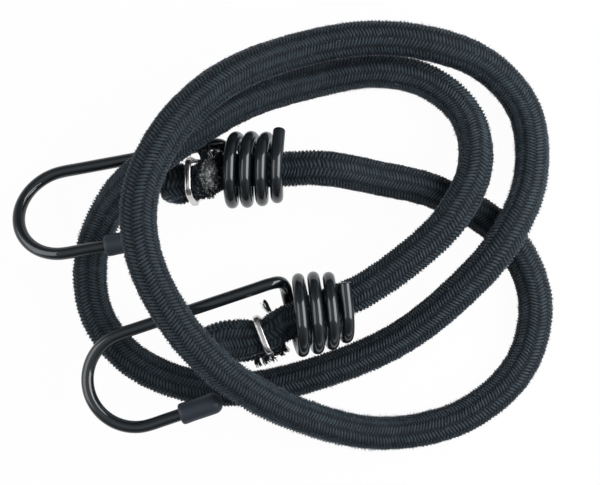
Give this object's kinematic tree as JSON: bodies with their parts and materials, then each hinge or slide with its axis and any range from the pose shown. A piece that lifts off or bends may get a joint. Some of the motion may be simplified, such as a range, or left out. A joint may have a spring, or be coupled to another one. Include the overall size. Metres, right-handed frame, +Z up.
{
  "type": "bungee cord",
  "caption": "Braided elastic cord lying in loose loops, with a coated wire hook coiled round each folded and clipped end, for holding loads down.",
  "frame": {"origin": "middle of the bounding box at the height of the surface that the cord rests on", "axes": "+Z up from the resting surface, +X along the longer side of the lay, from the hook bends towards the right loop, +Y across"},
  "size_m": [0.1555, 0.1234, 0.0392],
  "materials": {
    "yarn": "dark braided polyester yarn",
    "rubber": "pale natural rubber, matt",
    "coated_wire": "glossy black coating on steel wire",
    "cap_plastic": "satin black soft plastic",
    "clip_steel": "bright steel strip"
  },
  "bodies": {
    "cord": {"cord_sheath": "yarn", "rubber_strand_1": "rubber", "rubber_strand_2": "rubber", "rubber_strand_3": "rubber", "rubber_strand_4": "rubber", "rubber_strand_5": "rubber", "rubber_strand_6": "rubber", "rubber_strand_7": "rubber", "rubber_strand_8": "rubber", "rubber_strand_9": "rubber"},
    "front_end": {"front_folded_sheath": "yarn", "front_folded_core": "rubber", "front_clip": "clip_steel"},
    "front_hook": {"front_hook_wire": "coated_wire", "front_tip_cap": "cap_plastic"},
    "rear_end": {"rear_folded_sheath": "yarn", "rear_folded_core": "rubber", "rear_clip": "clip_steel"},
    "rear_hook": {"rear_hook_wire": "coated_wire", "rear_tip_cap": "cap_plastic"}
  },
  "joints": [
    {"name": "front_swivel", "type": "hinge", "parent": "cord", "child": "front_end", "pos_m": [0.0043, -0.0224, 0.0125], "axis": [0.9237, 0.3826, 0.0209], "range_deg": [-7, 5]},
    {"name": "front_slide", "type": "slide", "parent": "front_end", "child": "front_hook", "axis": [0.9237, 0.3826, 0.0209], "range_m": [-0.002, 0.002]},
    {"name": "rear_swivel", "type": "hinge", "parent": "cord", "child": "rear_end", "pos_m": [-0.01, 0.0193, 0.0116], "axis": [0.999, 0.0262, 0.0349], "range_deg": [-3, 9]},
    {"name": "rear_slide", "type": "slide", "parent": "rear_end", "child": "rear_hook", "axis": [0.999, 0.0262, 0.0349], "range_m": [0, 0.008]}
  ]
}
